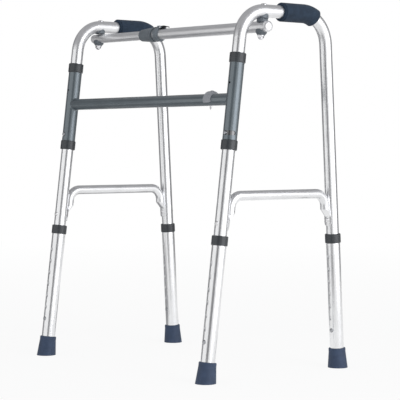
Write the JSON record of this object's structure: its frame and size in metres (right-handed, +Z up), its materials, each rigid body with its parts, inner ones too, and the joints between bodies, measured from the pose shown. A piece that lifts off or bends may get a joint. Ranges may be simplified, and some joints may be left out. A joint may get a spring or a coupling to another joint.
{
  "type": "walking frame",
  "caption": "Folding walking frame: two tubular side frames with foam grips swing on a grey front crossbar; telescopic legs with rubber tips and a telescopic top bar",
  "frame": {"origin": "middle of the outline, on the floor under the rubber tips", "axes": "+Z up; -Y is the front, where the crossbar is, and the open side for the user is +Y; +X is on the right of someone who looks along +Y at the front"},
  "size_m": [0.585, 0.3921, 0.7337],
  "materials": {
    "bright_tube": "satin anodised",
    "grey_tube": "semi-gloss paint",
    "dark_plastic": "moulded",
    "grey_plastic": "moulded",
    "grip_foam": "foam",
    "tip_rubber": "matt moulded rubber",
    "bright_steel": "plated",
    "spring_steel": "plain",
    "light_clip": "moulded"
  },
  "bodies": {
    "front_frame": {"crossbar": "grey_tube", "crossbar_clip": "light_clip", "crossbar_clip_screw": "bright_steel", "sleeve_left": "grey_tube", "sleeve_right": "grey_tube", "sleeve_weld_left": "grey_tube", "sleeve_weld_right": "grey_tube", "sleeve_collars_top": "dark_plastic", "sleeve_collars_bottom": "dark_plastic"},
    "left_frame": {"side_tube_left": "bright_tube", "brace_left": "bright_tube", "brace_rivets_left": "bright_steel", "grip_left": "grip_foam", "tube_saddle_left": "grey_plastic", "pivot_bolt_left": "bright_steel", "leg_front_spring_left": "spring_steel", "leg_rear_spring_left": "spring_steel", "sleeve_spring_left": "spring_steel"},
    "lower_leg_front_left": {"lower_leg_front_left": "bright_tube", "leg_collar_front_left": "dark_plastic", "tip_front_left": "tip_rubber"},
    "leg_front_button_left": {"leg_front_button_left": "bright_steel"},
    "lower_leg_rear_left": {"lower_leg_rear_left": "bright_tube", "leg_collar_rear_left": "dark_plastic", "tip_rear_left": "tip_rubber"},
    "leg_rear_button_left": {"leg_rear_button_left": "bright_steel"},
    "sleeve_button_left": {"sleeve_button_left": "bright_steel"},
    "right_frame": {"side_tube_right": "bright_tube", "brace_right": "bright_tube", "brace_rivets_right": "bright_steel", "grip_right": "grip_foam", "tube_saddle_right": "grey_plastic", "pivot_bolt_right": "bright_steel", "leg_front_spring_right": "spring_steel", "leg_rear_spring_right": "spring_steel", "sleeve_spring_right": "spring_steel"},
    "lower_leg_front_right": {"lower_leg_front_right": "bright_tube", "leg_collar_front_right": "dark_plastic", "tip_front_right": "tip_rubber"},
    "leg_front_button_right": {"leg_front_button_right": "bright_steel"},
    "lower_leg_rear_right": {"lower_leg_rear_right": "bright_tube", "leg_collar_rear_right": "dark_plastic", "tip_rear_right": "tip_rubber"},
    "leg_rear_button_right": {"leg_rear_button_right": "bright_steel"},
    "sleeve_button_right": {"sleeve_button_right": "bright_steel"},
    "bar_outer": {"bar_outer_tube": "bright_tube", "bar_cap_right": "bright_tube", "bar_saddle_right": "grey_plastic", "lower_bush_right": "grey_plastic", "cap_nut_right": "bright_steel", "bar_mouth_collar": "grey_plastic", "lock_clip": "grey_plastic", "lock_pin": "bright_steel"},
    "bar_guide": {"bar_liner": "grey_plastic"},
    "bar_inner": {"bar_inner_tube": "bright_tube", "bar_cap_left": "bright_tube", "lower_bush_left": "grey_plastic", "cap_nut_left": "bright_steel"},
    "lock_lever": {"lock_lever": "grey_plastic"}
  },
  "joints": [
    {"name": "left_fold", "type": "hinge", "parent": "front_frame", "child": "left_frame", "pos_m": [-0.27, -0.10578, 0.542], "axis": [0, -0.1276, -0.9918], "range_deg": [0, 51]},
    {"name": "leg_slide_front_left", "type": "slide", "parent": "left_frame", "child": "lower_leg_front_left", "axis": [0, -0.1276, -0.9918], "range_m": [0, 0.15]},
    {"name": "press_leg_front_button_left", "type": "slide", "parent": "left_frame", "child": "leg_front_button_left", "axis": [0, 0.9918, -0.1276], "range_m": [0, 0.0038], "stiffness_N_per_m": 2000},
    {"name": "leg_slide_rear_left", "type": "slide", "parent": "left_frame", "child": "lower_leg_rear_left", "axis": [0, 0.056, -0.9984], "range_m": [0, 0.15]},
    {"name": "press_leg_rear_button_left", "type": "slide", "parent": "left_frame", "child": "leg_rear_button_left", "axis": [0, 0.9984, 0.056], "range_m": [0, 0.0038], "stiffness_N_per_m": 2000},
    {"name": "press_sleeve_button_left", "type": "slide", "parent": "left_frame", "child": "sleeve_button_left", "axis": [0, 0.9918, -0.1276], "range_m": [0, 0.0038], "stiffness_N_per_m": 2000},
    {"name": "right_fold", "type": "hinge", "parent": "front_frame", "child": "right_frame", "pos_m": [0.27, -0.10578, 0.542], "axis": [0, 0.1276, 0.9918], "range_deg": [0, 75]},
    {"name": "leg_slide_front_right", "type": "slide", "parent": "right_frame", "child": "lower_leg_front_right", "axis": [0, -0.1276, -0.9918], "range_m": [0, 0.15]},
    {"name": "press_leg_front_button_right", "type": "slide", "parent": "right_frame", "child": "leg_front_button_right", "axis": [0, 0.9918, -0.1276], "range_m": [0, 0.0038], "stiffness_N_per_m": 2000},
    {"name": "leg_slide_rear_right", "type": "slide", "parent": "right_frame", "child": "lower_leg_rear_right", "axis": [0, 0.056, -0.9984], "range_m": [0, 0.15]},
    {"name": "press_leg_rear_button_right", "type": "slide", "parent": "right_frame", "child": "leg_rear_button_right", "axis": [0, 0.9984, 0.056], "range_m": [0, 0.0038], "stiffness_N_per_m": 2000},
    {"name": "press_sleeve_button_right", "type": "slide", "parent": "right_frame", "child": "sleeve_button_right", "axis": [0, 0.9918, -0.1276], "range_m": [0, 0.0038], "stiffness_N_per_m": 2000},
    {"name": "right_pivot", "type": "hinge", "parent": "right_frame", "child": "bar_outer", "pos_m": [0.27, -0.03352, 0.68396], "axis": [0, -0.1276, -0.9918], "range_deg": [0, 79.66]},
    {"name": "bar_slide_right", "type": "slide", "parent": "bar_outer", "child": "bar_guide", "axis": [1, -0.0011, -0.0083], "range_m": [0, 0.05069]},
    {"name": "bar_slide_left", "type": "slide", "parent": "bar_guide", "child": "bar_inner", "axis": [1, -0.0011, -0.0083], "range_m": [0, 0.0418]},
    {"name": "lock_press", "type": "hinge", "parent": "bar_outer", "child": "lock_lever", "pos_m": [-0.04488, -0.03137, 0.70064], "axis": [0, 0.9918, -0.1276], "range_deg": [0, 7], "stiffness_Nm_per_rad": 0.5}
  ],
  "couplings": [
    {"joint": "right_pivot", "follows": "right_fold", "ratio": 1.062},
    {"joint": "bar_slide_right", "follows": "right_fold", "m_per_rad": 0.03869},
    {"joint": "bar_slide_left", "follows": "left_fold", "m_per_rad": 0.046903}
  ]
}
